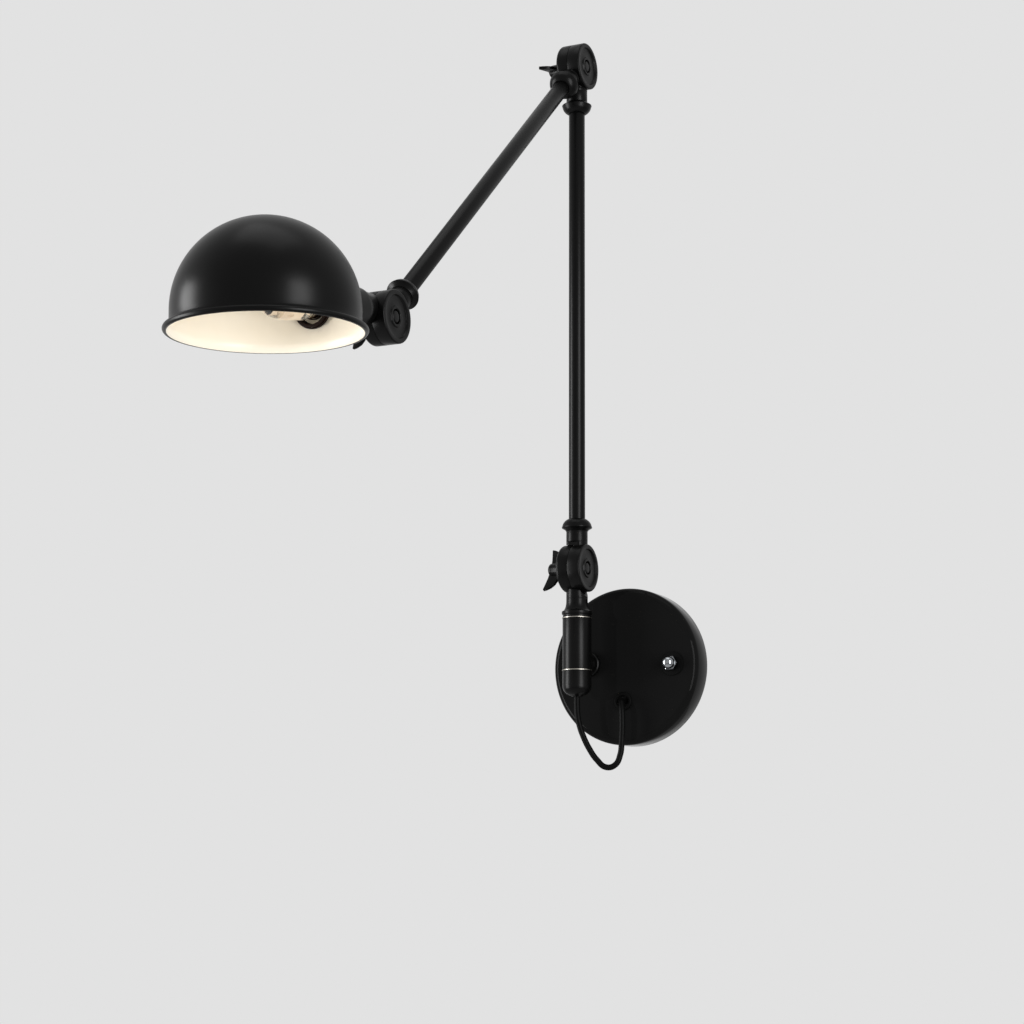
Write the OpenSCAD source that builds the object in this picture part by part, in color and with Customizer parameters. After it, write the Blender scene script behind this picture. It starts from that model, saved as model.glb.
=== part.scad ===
/* [Canopy] */
// Diameter of the canopy against the wall
canopy_d = 120; // [110:1:140]
// How far the canopy's face stands off the wall
canopy_depth = 22; // [20:0.5:25]
// Sheet thickness of the canopy
canopy_wall = 1.5; // [1:0.1:2]
// Radius of the canopy's rounded shoulder
canopy_shoulder_r = 6; // [4:0.5:8]
// Distance of the barrel's stub to the left of the canopy's centre
stub_x = 28.2; // [26:0.2:32]
// Height of the stub above the canopy's centre
stub_z = 2; // [1:0.5:4]
// Distance of the fixing stud from the canopy's right edge
stud_inset = 19.2; // [17:0.2:26]
// Distance of the cable grommet below the canopy's centre
grommet_drop = 27; // [25:0.5:30]

/* [Wall bracket] */
// How far the bracket's bar runs on past the canopy's stud
bar_past_stud = 9.2; // [7:0.1:12]
// Width of the bracket's bar
bar_width = 20; // [18:1:24]
// Thickness of the bracket
bar_t = 2; // [1.5:0.1:2.5]
// Spacing of the two wall screw holes
wall_hole_spacing = 50; // [44:1:56]
// Diameter of the wall screw holes
wall_hole_d = 4.5; // [3.5:0.1:5]

/* [Barrel] */
// Distance from the wall to the barrel's axis
barrel_out = 44.5; // [42:0.5:50]
// Outer diameter of the barrel
barrel_d = 22; // [21:0.5:24]
// Height of the barrel
barrel_h = 39.2; // [38:0.2:46]
// Distance of the barrel's lower end below the canopy's centre
barrel_drop = 4; // [4:0.5:6]
// Diameter of the swivel spindle
spindle_d = 10; // [9:0.5:11]
// Thickness of the bright rings at the barrel's ends
ring_t = 0.7; // [0.5:0.1:1]
// Height of the cap under the barrel
cap_h = 19.7; // [18:0.1:24]

/* [Arms] */
// Distance between the knuckles of each arm
arm_len = 400; // [300:5:500]
// Outer diameter of the arm tubes
tube_d = 12.5; // [12:0.1:13]
// Wall of the arm tubes
tube_wall = 1.2; // [0.8:0.1:1.5]
// Height of the lower knuckle above the canopy's centre
lower_z = 73.5; // [73:0.5:85]
// Angle between the two arms
fold = 47.5; // [47:0.1:70]

/* [Knuckles] */
// Diameter of the knuckles
knuckle_d = 36.5; // [36:0.5:38]
// Thickness of the left half of a knuckle
left_h = 10.1; // [9.5:0.1:10.7]
// Thickness of the right half of a knuckle
right_h = 9.9; // [9.5:0.1:10.8]
// Gap between the halves
seam = 0.3; // [0.3:0.05:0.6]
// Diameter of the pivot bolts
bolt_d = 6; // [5.5:0.1:6.5]
// Diameter of the necks
neck_d = 16.4; // [16:0.1:17]
// Diameter of the clamping collars
collar_d = 23.2; // [21:0.1:24]
// Reach of the wing nuts' wings from their axis
wing_r = 18.8; // [17:0.1:20]
// Thickness of the wings
wing_t = 2.4; // [2:0.1:3.5]

/* [Head] */
// Angle of the shade's neck below the horizontal
neck_tilt = 12.5; // [11:0.5:14]
// Height of the shade's neck above the head pivot
neck_lift = 7; // [6:0.5:7.5]
// Diameter of the shade's neck
shade_neck_d = 19.4; // [19:0.1:19.6]
// Outer diameter of the socket cup
cup_d = 29; // [29:0.5:32]
// Outer diameter of the lampholder
holder_d = 25; // [24:0.2:26]
// Length of the glass bulb in front of its cap
glass_len = 55; // [48:1:60]
// Diameter of the tubular glass bulb
glass_d = 16.5; // [15.5:0.5:20]

/* [Shade] */
// Outer diameter of the shade's dome
dome_d = 118.7; // [116:0.1:122]
// Sheet thickness of the shade
shade_wall = 1.2; // [1:0.1:1.5]
// Radius of the rolled bead on the rim
bead_r = 1.9; // [1.6:0.1:2.2]
// How far the bead stands out from the dome
bead_out = 2.2; // [2:0.05:3.2]
// Depth of the rim's lower edge below the dome's centre
rim_drop = 13.7; // [12.5:0.1:14.5]
// Angle by which the rim leans down away from the wall
shade_tilt = 1.7; // [0:0.1:3]
// Distance from the head knuckle to the dome's centre, level
dome_reach = 135; // [134.5:0.5:138]
// Distance of the dome's centre below the head knuckle
dome_drop = 25.9; // [24.5:0.1:27]

/* [Cable] */
// Diameter of the cable
cord_d = 4.5; // [4:0.1:4.8]

/* [Hidden] */
$fn = 96;

// Clearances of threads and sleeves, of running fits, and of holes for screws
snug = 0.05;
run = 0.08;
loose = 0.2;
// Overlap that makes a cut go cleanly through
cut = 1;

canopy_r = canopy_d / 2;
barrel_r = barrel_d / 2;
spindle_r = spindle_d / 2;
tube_r = tube_d / 2;
tube_bore_r = tube_r - tube_wall;
knuckle_r = knuckle_d / 2;
bolt_r = bolt_d / 2;
neck_r = neck_d / 2;
collar_r = collar_d / 2;
cord_r = cord_d / 2;
lead_hole_r = cord_r + 0.75;

// Fixings of the canopy
stud_x = canopy_r - stud_inset;
stud_r = 3;
bar_length = 2 * (stud_x + bar_past_stud);
stud_collar_r = 5;
stud_collar_h = 2;
washer_r = 9;
washer_t = 1.2;
nut_flats = 10;
nut_hex_h = 5;
nut_dome_r = 4.7;
stud_end = canopy_depth + washer_t + nut_hex_h + 2;
stub_thread_r = 4.5;
stub_flange_r = 9.25;
stub_flange_h = 4;
stub_body_r = 5.9;
plate_size = 26;
plate_t = 1.5;
lock_nut_flats = 14;
lock_nut_h = 4;
stub_start = canopy_depth - canopy_wall - plate_t - lock_nut_h - 1.5;
grommet_lip_r = 7.1;
grommet_lip_t = 2;
grommet_neck_r = 5.4;
grommet_mouth_r = 4.4;
tab_width = 26;
tab_drop = 42;
block_w = 22;
block_h = 13;
block_out = canopy_depth - 7;
block_screw_r = 2;
block_screw_pitch = 12;
earth_x = 8;
earth_r = 2;
earth_head_r = 3.6;

// Barrel and spindle
barrel_z0 = -barrel_drop;
barrel_z1 = barrel_z0 + barrel_h;
barrel_wall = 3;
barrel_bore_r = barrel_r - barrel_wall;
web_h = 4;
ring_proud = 0.35;
flange_z = barrel_z1 + ring_t;
cap_z = barrel_z0 - ring_t;
outlet_r = 3.5;
cap_straight = 11.5;
spigot_h = 1.5;
spindle_end = barrel_z1 - 17;
spindle_nut_r = barrel_bore_r - 0.6;
spindle_nut_h = 5;
spindle_washer_t = 0.8;

// Knuckles: distances along the pivot axis from the seam, and radii about it
half_seam = seam / 2;
hub_r = 6.5;
hub_sink = 0.35;
rim_wall = 3.4;
cavity_r = knuckle_r - rim_wall;
web_t = 3;
recess_r = 5.1;
recess_h = 5.2;
boss_r = 7.4;
face_drop = 1.4;
edge_r = 1;
round_r = 2.6;
swing_gap = 0.4;
washer_clear = snug;
friction_t = seam + 2 * hub_sink - 2 * washer_clear;
pressure_t = 0.8;
pressure_r = 8;
wing_base = left_h + pressure_t + 2 * washer_clear;
wing_end = 23.8;
wing_hub_r = 5.2;
bolt_end = wing_end - 3;
head_bolt_h = 3.8;
head_gap = 0.8;

// Necks, collars and tubes: distances from the knuckle's axis along the arm
root_s = 15;
flat_y = 6.8;
flat_end = 20.5;
notch_x = 6;
notch_start = 18.6;
notch_end = 22.8;
flange_low = 2.4;
flange_high = 4.6;
flange_curve = 8;
neck_end = 28.8;
socket_s = 24;
collar_wide = neck_end + 2.8;
collar_end = neck_end + 9.3;
bush_len = 8;
lead_start = knuckle_r + 0.6;
base_neck_end = lower_z - flange_z;

// Head: distances from the knuckle's axis along the shade's neck
neck_shift = -5.6;
head_root = 8;
flare_start = 9;
flare_r = 12.6;
shade_neck_end = 28;
cup_straight = shade_neck_end + 7;
cup_wall = 1.2;
nipple_r = 5;
nipple_bore_r = 3.2;
nipple_start = shade_neck_end - 5;
nipple_nut_h = 3;
dome_r = dome_d / 2;
dome_in_r = dome_r - shade_wall;
dome_s = dome_reach * cos(neck_tilt) + (dome_drop + neck_lift) * sin(neck_tilt);
dome_off = abs(dome_reach * sin(neck_tilt) - (dome_drop + neck_lift) * cos(neck_tilt));
holder_r = holder_d / 2;
holder_wall = 2;
shade_ring_w = 1.2;
shade_ring_t = 2;
shade_ring_gap = 0.15;
ring_edge = holder_r + shade_ring_w + dome_off;
shade_ring_start = dome_s - sqrt(pow(dome_in_r, 2) - pow(ring_edge, 2)) + shade_ring_gap;
holder_end = shade_ring_start + shade_ring_t + 1.8;
holder_start = holder_end - 41;
holder_floor = holder_end - 30;
nipple_end = holder_start + 6;
shell_r = 7.8;
shell_wall = 0.6;
shell_end = holder_end - 3;
bulb_cap_r = shell_r - shell_wall - 0.2;
bulb_cap_start = holder_floor + 4;
bulb_cap_end = holder_end - 1;
contact_r = 3;
glass_wall = 0.8;
glass_neck_r = bulb_cap_r - 0.6;
glass_r = glass_d / 2;
glass_tip = 26;

// Places of the joints: x, y and z
barrel_at = [-stub_x, -barrel_out, 0];
lower_at = barrel_at + [0, 0, lower_z];
upper_at = lower_at + [0, 0, arm_len];
head_at = upper_at - [0, sin(fold), cos(fold)] * arm_len;
dome_at = head_at + [neck_shift, -dome_reach, -dome_drop];

// Cable from the cap's outlet round under the canopy and into the grommet: x, y and z
cord_route = [
    [-28.2, -44.5, -24.4], [-28.2, -44.5, -30], [-27.8, -44.5, -38], [-26.4, -44, -46], [-23.6, -43, -54.5],
    [-19.5, -41.5, -63.5], [-14, -39.5, -72], [-7.5, -37.5, -77.5], [-1, -35.5, -76], [2.8, -34, -68],
    [3.6, -33.2, -58], [4, -33, -48], [4, -33, -40], [3.6, -32.6, -34], [2.4, -30.4, -29.4],
    [0.8, -26.6, -27.3], [0, -22, -27], [0, -18, -27], [0, -15, -27]
];
cord_sides = 10;

// Points of an arc about a centre, from one angle to another
function arc(c, r, a0, a1, n = 12) = [for (i = [0:n])
    let (a = a0 + (a1 - a0) * i / n) c + r * [cos(a), sin(a)]];

module at_lower() translate(lower_at) children();
module at_upper() translate(upper_at) children();
module at_head() translate(head_at) children();

// Turns +Z to -Y, out of the wall
module out_of_wall() rotate([90, 0, 0]) children();

// Turns +Z along the pivot axis: to the right for side 1, to the left for side -1
module along_pivot(side) rotate([0, side * 90, 0]) children();

// Turns +Z along the upper arm, downwards from the upper knuckle or upwards from the head knuckle
module down_upper_arm() rotate([180 - fold, 0, 0]) children();
module up_upper_arm() rotate([-fold, 0, 0]) children();

// Turns +Z along the shade's neck, on the neck's own axis
module along_neck() translate([neck_shift, 0, neck_lift]) rotate([90 + neck_tilt, 0, 0]) children();

module tube(r_out, r_in, h) {
    difference() {
        cylinder(r = r_out, h = h);
        translate([0, 0, -cut]) cylinder(r = r_in, h = h + 2 * cut);
    }
}

module hex_nut(flats, bore_r, h) {
    difference() {
        cylinder(d = flats / cos(30), h = h, $fn = 6);
        translate([0, 0, -cut]) cylinder(r = bore_r, h = h + 2 * cut);
    }
}

// Left half of a knuckle: rounded outer edge, plain face, open cavity round a hub
module left_shell() {
    along_pivot(-1) rotate_extrude() polygon(concat(
        [[bolt_r + run, half_seam + hub_sink], [hub_r, half_seam + hub_sink], [hub_r, left_h - web_t],
         [cavity_r, left_h - web_t],
         [cavity_r, half_seam], [knuckle_r, half_seam]],
        arc([knuckle_r - round_r, left_h - round_r], round_r, 0, 90),
        [[bolt_r + run, left_h]]
    ));
}

// Right half of a knuckle: raised rim, sunk face, ring boss and a recess for the bolt's head
module right_shell() {
    rim_in = knuckle_r - rim_wall;
    along_pivot(1) rotate_extrude() polygon(concat(
        [[bolt_r + snug, half_seam + hub_sink], [hub_r, half_seam + hub_sink],
         [hub_r, right_h - face_drop - web_t],
         [cavity_r, right_h - face_drop - web_t], [cavity_r, half_seam], [knuckle_r, half_seam]],
        arc([knuckle_r - edge_r, right_h - edge_r], edge_r, 0, 90, 6),
        [[rim_in, right_h], [rim_in - 0.6, right_h - face_drop], [boss_r, right_h - face_drop],
         [boss_r - 0.5, right_h - 0.6], [recess_r + 0.4, right_h - 0.6], [recess_r, right_h - 1],
         [recess_r, recess_h], [bolt_r + snug, recess_h]]
    ));
}

// Room that a neck leaves for the other half of its knuckle
module other_half(side) {
    along_pivot(side) translate([0, 0, -half_seam]) cylinder(r = knuckle_r + swing_gap, h = 4 * neck_r);
}

// Neck of an arm's half knuckle, with the socket of the tube and the cable's hole
module arm_neck(side) {
    difference() {
        translate([0, 0, root_s]) cylinder(r = neck_r, h = neck_end - root_s);
        other_half(-side);
        for (m = [0, 1]) mirror([0, m, 0])
            translate([-neck_r - cut, flat_y, root_s - cut])
                cube([2 * neck_r + 2 * cut, neck_r, flat_end - root_s + cut]);
        translate([0, 0, hub_r + cut]) cylinder(r = lead_hole_r, h = neck_end);
        translate([0, 0, socket_s]) cylinder(r = tube_r + snug, h = neck_end);
    }
}

// One half knuckle of an arm: the shell with its neck, whose cable hole opens into the cavity
module arm_knuckle(side) {
    difference() {
        if (side > 0) right_shell();
        else left_shell();
        translate([0, 0, hub_r + cut]) cylinder(r = lead_hole_r, h = knuckle_r);
    }
    arm_neck(side);
}

// Clamping collar at a distance from the knuckle that the neck sets
module collar() {
    rotate_extrude() polygon(concat(
        [[tube_r + snug, neck_end], [neck_r + 0.2, neck_end], [neck_r + 1, neck_end + 1.2]],
        [[collar_r - 0.3, collar_wide - 0.5], [collar_r, collar_wide - 0.2], [collar_r, collar_wide + 0.3]],
        [for (a = [8:8:80]) [tube_r + 0.6 + (collar_r - 0.3 - tube_r - 0.6) * pow(cos(a), 1.5),
                             collar_wide + 0.3 + (collar_end - collar_wide - 0.3) * sin(a)]],
        [[tube_r + 0.6, collar_end], [tube_r + snug, collar_end]]
    ));
}

module arm_tube() {
    translate([0, 0, socket_s + snug]) tube(tube_r, tube_bore_r, arm_len - 2 * (socket_s + snug));
}

module arm_bush() {
    translate([0, 0, socket_s + snug]) tube(tube_bore_r - snug, cord_r + snug, bush_len);
}

module arm_lead() {
    translate([0, 0, lead_start]) cylinder(r = cord_r, h = arm_len - 2 * lead_start);
}

module pivot_bolt() {
    head_r = recess_r - head_gap;
    head_round = 1.2;
    along_pivot(1) {
        translate([0, 0, -bolt_end]) cylinder(r = bolt_r, h = bolt_end + recess_h + cut / 2);
        rotate_extrude() polygon(concat(
            [[0, recess_h], [head_r, recess_h], [head_r, recess_h + head_bolt_h - head_round]],
            [for (a = [15:15:90]) [head_r * cos(a), recess_h + head_bolt_h - head_round * (1 - sin(a))]]
        ));
    }
}

module friction_washer() {
    along_pivot(1) translate([0, 0, -friction_t / 2]) tube(hub_r - 0.4, bolt_r + loose, friction_t);
}

module pressure_washer() {
    along_pivot(-1) translate([0, 0, left_h + washer_clear]) tube(pressure_r, bolt_r + loose, pressure_t);
}

// Wing nut on the left side of a knuckle, its wings turned by an angle from the upright
module wing_nut(turn) {
    along_pivot(-1) rotate([0, 0, turn]) {
        difference() {
            union() {
                rotate_extrude() polygon(concat(
                    [[0, wing_base], [pressure_r - 1.6, wing_base], [pressure_r - 1.8, wing_base + 1.6],
                     [wing_hub_r + 0.3, wing_base + 2.6], [wing_hub_r, wing_end - 3]],
                    [for (a = [15:15:90]) [wing_hub_r * cos(a), wing_end - 3 + 3 * sin(a)]]
                ));
                for (s = [-1, 1])
                    translate([0, wing_t / 2, 0]) rotate([90, 0, 0]) linear_extrude(wing_t) polygon([
                        [s * 4, wing_base + 2], [s * 9, wing_base + 2.6], [s * 13.6, wing_base + 4.6],
                        [s * (wing_r - 2.4), wing_base + 7.2], [s * (wing_r - 0.7), wing_base + 10.6],
                        [s * wing_r, wing_base + 13.2], [s * (wing_r - 0.7), wing_base + 13.5],
                        [s * (wing_r - 3.4), wing_base + 12.9], [s * 8.5, wing_end - 1.2],
                        [s * 4, wing_end - 1.6]
                    ]);
            }
            translate([0, 0, wing_base - cut])
                cylinder(r = bolt_r + run, h = bolt_end - wing_base + cut + loose);
        }
    }
}

module canopy() {
    inner_r = canopy_shoulder_r - canopy_wall;
    color("#141414") out_of_wall() difference() {
        rotate_extrude() polygon(concat(
            [[canopy_r - canopy_wall, 0], [canopy_r, 0]],
            arc([canopy_r - canopy_shoulder_r, canopy_depth - canopy_shoulder_r], canopy_shoulder_r, 0, 90),
            [[0, canopy_depth], [0, canopy_depth - canopy_wall]],
            arc([canopy_r - canopy_shoulder_r, canopy_depth - canopy_shoulder_r], inner_r, 90, 0)
        ));
        translate([-stub_x, stub_z, 0]) cylinder(r = stub_thread_r + loose, h = canopy_depth + cut);
        translate([stud_x, 0, 0]) cylinder(r = stud_r + loose, h = canopy_depth + cut);
        translate([0, -grommet_drop, 0]) cylinder(r = grommet_neck_r + snug, h = canopy_depth + cut);
    }
}

module mounting_bar() {
    color("#9a9c9e") out_of_wall() difference() {
        linear_extrude(bar_t) union() {
            square([bar_length, bar_width], center = true);
            translate([-tab_width / 2, -tab_drop]) square([tab_width, tab_drop]);
        }
        for (s = [-1, 1])
            translate([s * wall_hole_spacing / 2, 0, -cut]) cylinder(d = wall_hole_d, h = bar_t + 2 * cut);
        translate([stud_x, 0, -cut]) cylinder(r = stud_r + snug, h = bar_t + 2 * cut);
        translate([earth_x, 0, -cut]) cylinder(r = earth_r + snug, h = bar_t + 2 * cut);
        for (s = [-1, 1]) translate([s * block_screw_pitch / 2, -grommet_drop - 2, -cut])
            cylinder(r = block_screw_r + snug, h = bar_t + 2 * cut);
    }
}

module canopy_stud() {
    color("#b4b6b8") out_of_wall() translate([stud_x, 0, 0]) {
        cylinder(r = stud_r, h = stud_end);
        translate([0, 0, bar_t]) cylinder(r = stud_collar_r, h = stud_collar_h);
    }
}

module nut_washer() {
    color("#1c1c1c") out_of_wall() translate([stud_x, 0, canopy_depth])
        tube(washer_r, stud_r + loose, washer_t);
}

module acorn_nut() {
    color("#d8dadc") out_of_wall() translate([stud_x, 0, canopy_depth + washer_t]) difference() {
        union() {
            cylinder(d = nut_flats / cos(30), h = nut_hex_h, $fn = 6);
            rotate_extrude() polygon(concat(
                [[0, nut_hex_h - cut], [nut_dome_r, nut_hex_h - cut]],
                arc([0, nut_hex_h + 2], nut_dome_r, 0, 90)
            ));
        }
        translate([0, 0, -cut])
            cylinder(r = stud_r + snug, h = stud_end - canopy_depth - washer_t + cut + loose);
    }
}

module pivot_stub() {
    color("#1a1a1a") {
        out_of_wall() translate([-stub_x, stub_z, stub_start])
            cylinder(r = stub_thread_r, h = barrel_out - barrel_bore_r - stub_start - loose);
        difference() {
            out_of_wall() translate([-stub_x, stub_z, canopy_depth]) {
                rotate_extrude() polygon([
                    [0, 0], [stub_flange_r, 0], [stub_flange_r, stub_flange_h - 1],
                    [stub_flange_r - 1, stub_flange_h], [0, stub_flange_h]
                ]);
                cylinder(r = stub_body_r, h = barrel_out - canopy_depth);
            }
            translate([-stub_x, -barrel_out, barrel_z0 - barrel_r])
                cylinder(r = barrel_r, h = barrel_h + barrel_d);
        }
    }
}

module backing_plate() {
    plate_z = canopy_depth - canopy_wall - plate_t;
    color("#9a9c9e") out_of_wall() translate([-stub_x, stub_z, plate_z]) difference() {
        translate([-plate_size / 2, -plate_size / 2, 0]) cube([plate_size, plate_size, plate_t]);
        translate([0, 0, -cut]) cylinder(r = stub_thread_r + loose, h = plate_t + 2 * cut);
    }
}

module stub_lock_nut() {
    nut_z = canopy_depth - canopy_wall - plate_t - lock_nut_h;
    color("#b08d4a") out_of_wall() translate([-stub_x, stub_z, nut_z])
        hex_nut(lock_nut_flats, stub_thread_r + snug, lock_nut_h);
}

module barrel() {
    color("#151515") difference() {
        translate(barrel_at) difference() {
            translate([0, 0, barrel_z0]) cylinder(r = barrel_r, h = barrel_h);
            translate([0, 0, barrel_z0 - cut]) cylinder(r = barrel_bore_r, h = barrel_h - web_h + cut);
            translate([0, 0, barrel_z0]) cylinder(r = spindle_r + run, h = barrel_h + cut);
        }
        out_of_wall() translate([-stub_x, stub_z, canopy_depth])
            cylinder(r = stub_thread_r + snug, h = barrel_out - canopy_depth);
    }
}

module barrel_top_ring() {
    color("#c9b27a") translate(barrel_at + [0, 0, barrel_z1])
        tube(barrel_r + ring_proud, spindle_r + loose, ring_t);
}

module barrel_bottom_ring() {
    color("#c9b27a") translate(barrel_at + [0, 0, cap_z])
        tube(barrel_r + ring_proud, barrel_bore_r + snug, ring_t);
}

module barrel_cap() {
    inner_r = barrel_r - 2;
    drop = cap_h - cap_straight;
    color("#151515") translate(barrel_at + [0, 0, cap_z]) rotate_extrude() polygon(concat(
        [[cord_r + snug, -cap_h], [outlet_r, -cap_h]],
        [for (a = [-80:10:0])
            [outlet_r + (barrel_r - outlet_r) * cos(a), -cap_straight + (drop - 0.8) * sin(a)]],
        [[barrel_r, 0], [barrel_bore_r - snug, 0], [barrel_bore_r - snug, spigot_h],
         [barrel_bore_r - 1.5, spigot_h], [barrel_bore_r - 1.5, -2], [inner_r - 1, -3],
         [inner_r - 1, -cap_straight]],
        [for (a = [-20:-20:-80])
            [cord_r + snug + (inner_r - 1 - cord_r) * cos(a), -cap_straight + (drop - 3) * sin(a)]],
        [[cord_r + snug, -cap_h + 3]]
    ));
}

module cable_grommet() {
    face = canopy_depth;
    color("#101010") out_of_wall() translate([0, -grommet_drop, 0]) rotate_extrude() polygon(concat(
        [[cord_r + snug, face - canopy_wall - 1.6], [grommet_lip_r - 0.4, face - canopy_wall - 1.6],
         [grommet_lip_r - 0.4, face - canopy_wall - snug / 2],
         [grommet_neck_r, face - canopy_wall - snug / 2],
         [grommet_neck_r, face], [grommet_lip_r, face]],
        arc([grommet_lip_r - 1.2, face + grommet_lip_t - 1.2], 1.2, 0, 90, 5),
        arc([grommet_mouth_r + 0.9, face + grommet_lip_t - 0.9], 0.9, 90, 180, 5),
        [[grommet_mouth_r, face + 0.4], [cord_r + snug, face - 0.4]]
    ));
}

module terminal_block() {
    color("#d9d4c4") out_of_wall() difference() {
        translate([-block_w / 2, -grommet_drop - block_h / 2 - 2, bar_t])
            cube([block_w, block_h + 2, block_out - bar_t]);
        for (s = [-1, 1]) translate([s * block_screw_pitch / 2, -grommet_drop - 2, 0])
            cylinder(r = block_screw_r + snug, h = canopy_depth);
    }
}

module terminal_screws() {
    color("#c0a050") out_of_wall() for (s = [-1, 1])
        translate([s * block_screw_pitch / 2, -grommet_drop - 2, 0]) {
            cylinder(r = block_screw_r, h = block_out + 1.2);
            translate([0, 0, block_out]) cylinder(r = block_screw_r + 1, h = 1.6);
        }
}

module earth_screw() {
    color("#c0a050") out_of_wall() translate([earth_x, 0, 0]) {
        cylinder(r = earth_r, h = bar_t + 2);
        translate([0, 0, bar_t]) cylinder(r = earth_head_r, h = 2.4);
    }
}

module barrel_lead() {
    color("#0c0c0c") translate(barrel_at + [0, 0, cap_z - cap_h])
        cylinder(r = cord_r, h = lower_z - lead_start - cap_z + cap_h);
}

function unit(v) = v / norm(v);
function tangents(p) = [for (i = [0:len(p) - 1])
    unit(p[min(i + 1, len(p) - 1)] - p[max(i - 1, 0)])];
function carried(t, n, i = 0) = i == len(t) ? [] :
    let (m = unit(n - (n * t[i]) * t[i])) concat([m], carried(t, m, i + 1));

module cord_loop() {
    t = tangents(cord_route);
    n = carried(t, [1, 0, 0]);
    last = len(cord_route) - 1;
    rings = [for (i = [0:last]) let (b = cross(t[i], n[i])) for (k = [0:cord_sides - 1])
        cord_route[i] + cord_r * (cos(360 * k / cord_sides) * n[i] + sin(360 * k / cord_sides) * b)];
    sides = [for (i = [0:last - 1]) for (k = [0:cord_sides - 1])
        let (a = i * cord_sides + k, b = i * cord_sides + (k + 1) % cord_sides)
        each [[a, b + cord_sides, b], [a, a + cord_sides, b + cord_sides]]];
    first_cap = [for (k = [1:cord_sides - 2]) [0, k, k + 1]];
    e = last * cord_sides;
    last_cap = [for (k = [1:cord_sides - 2]) [e, e + k + 1, e + k]];
    color("#0c0c0c") polyhedron(points = rings, faces = concat(first_cap, sides, last_cap));
}

module base_knuckle() {
    flange_r = barrel_r + 0.6;
    foot_r = barrel_r - 0.2;
    curve_end = base_neck_end - flange_high;
    color("#1b1b1b") at_lower() rotate([180, 0, 0]) {
        difference() {
            union() {
                rotate([180, 0, 0]) left_shell();
                difference() {
                    rotate_extrude() polygon(concat(
                        [[0, root_s], [neck_r, root_s], [neck_r, curve_end - flange_curve]],
                        [for (a = [15:15:75]) [flange_r - (flange_r - neck_r) * cos(a),
                                               curve_end - flange_curve * (1 - sin(a))]],
                        [[flange_r, curve_end], [flange_r, base_neck_end - flange_low],
                         [foot_r, base_neck_end - flange_low + 0.4], [foot_r, base_neck_end],
                         [0, base_neck_end]]
                    ));
                    other_half(1);
                    rotate([90, 0, 0]) linear_extrude(barrel_d, center = true) polygon([
                        [notch_x, 0], [notch_x, notch_start], [neck_r + cut / 2, notch_end],
                        [barrel_d, notch_end], [barrel_d, 0]
                    ]);
                }
                translate([0, 0, base_neck_end - cut])
                    cylinder(r = spindle_r, h = lower_z - spindle_end - base_neck_end + cut);
            }
            translate([0, 0, hub_r + cut]) cylinder(r = lead_hole_r, h = lower_z);
        }
    }
}

module spindle_washer() {
    color("#9a9c9e") translate(barrel_at + [0, 0, barrel_z1 - web_h - spindle_washer_t - snug])
        tube(spindle_nut_r, spindle_r + loose, spindle_washer_t);
}

module spindle_nut() {
    nut_z = barrel_z1 - web_h - spindle_washer_t - snug - spindle_nut_h;
    color("#b4b6b8") translate(barrel_at + [0, 0, nut_z])
        hex_nut(2 * spindle_nut_r * cos(30), spindle_r + snug, spindle_nut_h);
}

module lower_arm_foot() {
    color("#1b1b1b") at_lower() arm_knuckle(1);
}

module lower_arm_head() {
    color("#1b1b1b") at_upper() mirror([0, 0, 1]) arm_knuckle(1);
}

module lower_arm_tube() {
    color("#181818") at_lower() arm_tube();
}

module lower_arm_collars() {
    color("#1b1b1b") {
        at_lower() collar();
        at_upper() mirror([0, 0, 1]) collar();
    }
}

module lower_arm_bushes() {
    color("#303030") {
        at_lower() arm_bush();
        at_upper() mirror([0, 0, 1]) arm_bush();
    }
}

module lower_arm_lead() {
    color("#0c0c0c") at_lower() arm_lead();
}

module lower_bolt() {
    color("#222222") at_lower() pivot_bolt();
}

module upper_bolt() {
    color("#222222") at_upper() pivot_bolt();
}

module head_bolt() {
    color("#222222") at_head() pivot_bolt();
}

module lower_friction_washer() {
    color("#70604a") at_lower() friction_washer();
}

module upper_friction_washer() {
    color("#70604a") at_upper() friction_washer();
}

module head_friction_washer() {
    color("#70604a") at_head() friction_washer();
}

module lower_pressure_washer() {
    color("#222222") at_lower() pressure_washer();
}

module upper_pressure_washer() {
    color("#222222") at_upper() pressure_washer();
}

module head_pressure_washer() {
    color("#222222") at_head() pressure_washer();
}

module upper_arm_head() {
    color("#1b1b1b") at_upper() down_upper_arm() arm_knuckle(-1);
}

module upper_arm_foot() {
    color("#1b1b1b") at_head() up_upper_arm() arm_knuckle(1);
}

module upper_arm_tube() {
    color("#181818") at_head() up_upper_arm() arm_tube();
}

module upper_arm_collars() {
    color("#1b1b1b") {
        at_head() up_upper_arm() collar();
        at_upper() down_upper_arm() collar();
    }
}

module upper_arm_bushes() {
    color("#303030") {
        at_head() up_upper_arm() arm_bush();
        at_upper() down_upper_arm() arm_bush();
    }
}

module upper_arm_lead() {
    color("#0c0c0c") at_head() up_upper_arm() arm_lead();
}

module lower_wing_nut() {
    color("#1b1b1b") at_lower() wing_nut(28);
}

module upper_wing_nut() {
    color("#1b1b1b") at_upper() wing_nut(84);
}

module head_wing_nut() {
    color("#1b1b1b") at_head() wing_nut(-2);
}

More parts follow.
